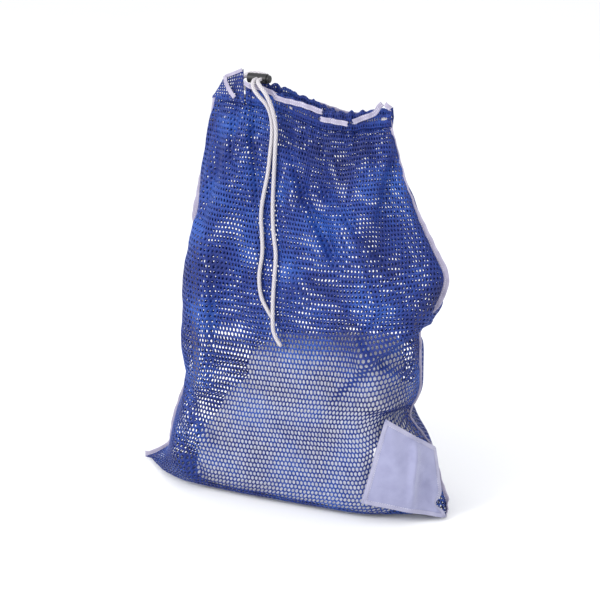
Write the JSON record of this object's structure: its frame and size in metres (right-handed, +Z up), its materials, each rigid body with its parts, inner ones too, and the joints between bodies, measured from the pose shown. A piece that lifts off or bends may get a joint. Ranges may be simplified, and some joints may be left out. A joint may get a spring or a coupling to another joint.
{
  "type": "drawstring mesh bag",
  "caption": "Tall net drawstring bag with taped side seams, a corded casing with a spring cord lock, a hemmed corner patch and folded cloths inside, standing upright",
  "frame": {"origin": "on the floor, at the middle of the bag's footprint", "axes": "X runs along the mouth from the cord lock's corner to the patch's corner, -Y is the front with the hanging cord ends, +Z is up"},
  "size_m": [0.5, 0.1725, 0.621],
  "materials": {
    "net": "matte",
    "tape": "matte",
    "patch": "matte",
    "cord": "matte",
    "lock": "gloss",
    "spring": "satin",
    "cloth": "matte"
  },
  "bodies": {
    "bag": {"base_net": "net", "front_net": "net", "back_net_lower": "net", "left_seam_tape": "tape", "right_seam_tape": "tape", "front_casing": "net", "front_hem_tape": "tape", "id_patch": "patch", "id_patch_binding": "patch", "front_cord_run": "cord", "left_cord_leg": "cord", "right_cord_leg": "cord", "lower_cloth": "cloth", "upper_cloth": "cloth"},
    "mouth_back": {"back_net_upper": "net", "back_casing": "net", "back_hem_tape": "tape", "back_cord_run": "cord"},
    "cord_lock": {"cord_lock_barrel": "lock", "cord_lock_spring": "spring"},
    "lock_plunger": {"cord_lock_plunger": "lock"}
  },
  "joints": [
    {"name": "mouth_open", "type": "hinge", "parent": "bag", "child": "mouth_back", "pos_m": [0, 0.0465, 0.4116], "axis": [-1, 0, 0], "range_deg": [0, 22]},
    {"name": "lock_slide", "type": "slide", "parent": "bag", "child": "cord_lock", "axis": [0, -1, 0], "range_m": [0, 0.005]},
    {"name": "plunger_press", "type": "slide", "parent": "cord_lock", "child": "lock_plunger", "axis": [-1, 0, 0], "range_m": [0, 0.003], "stiffness_N_per_m": 400, "springref_m": -0.003, "deforming": ["cord_lock_spring"]}
  ]
}
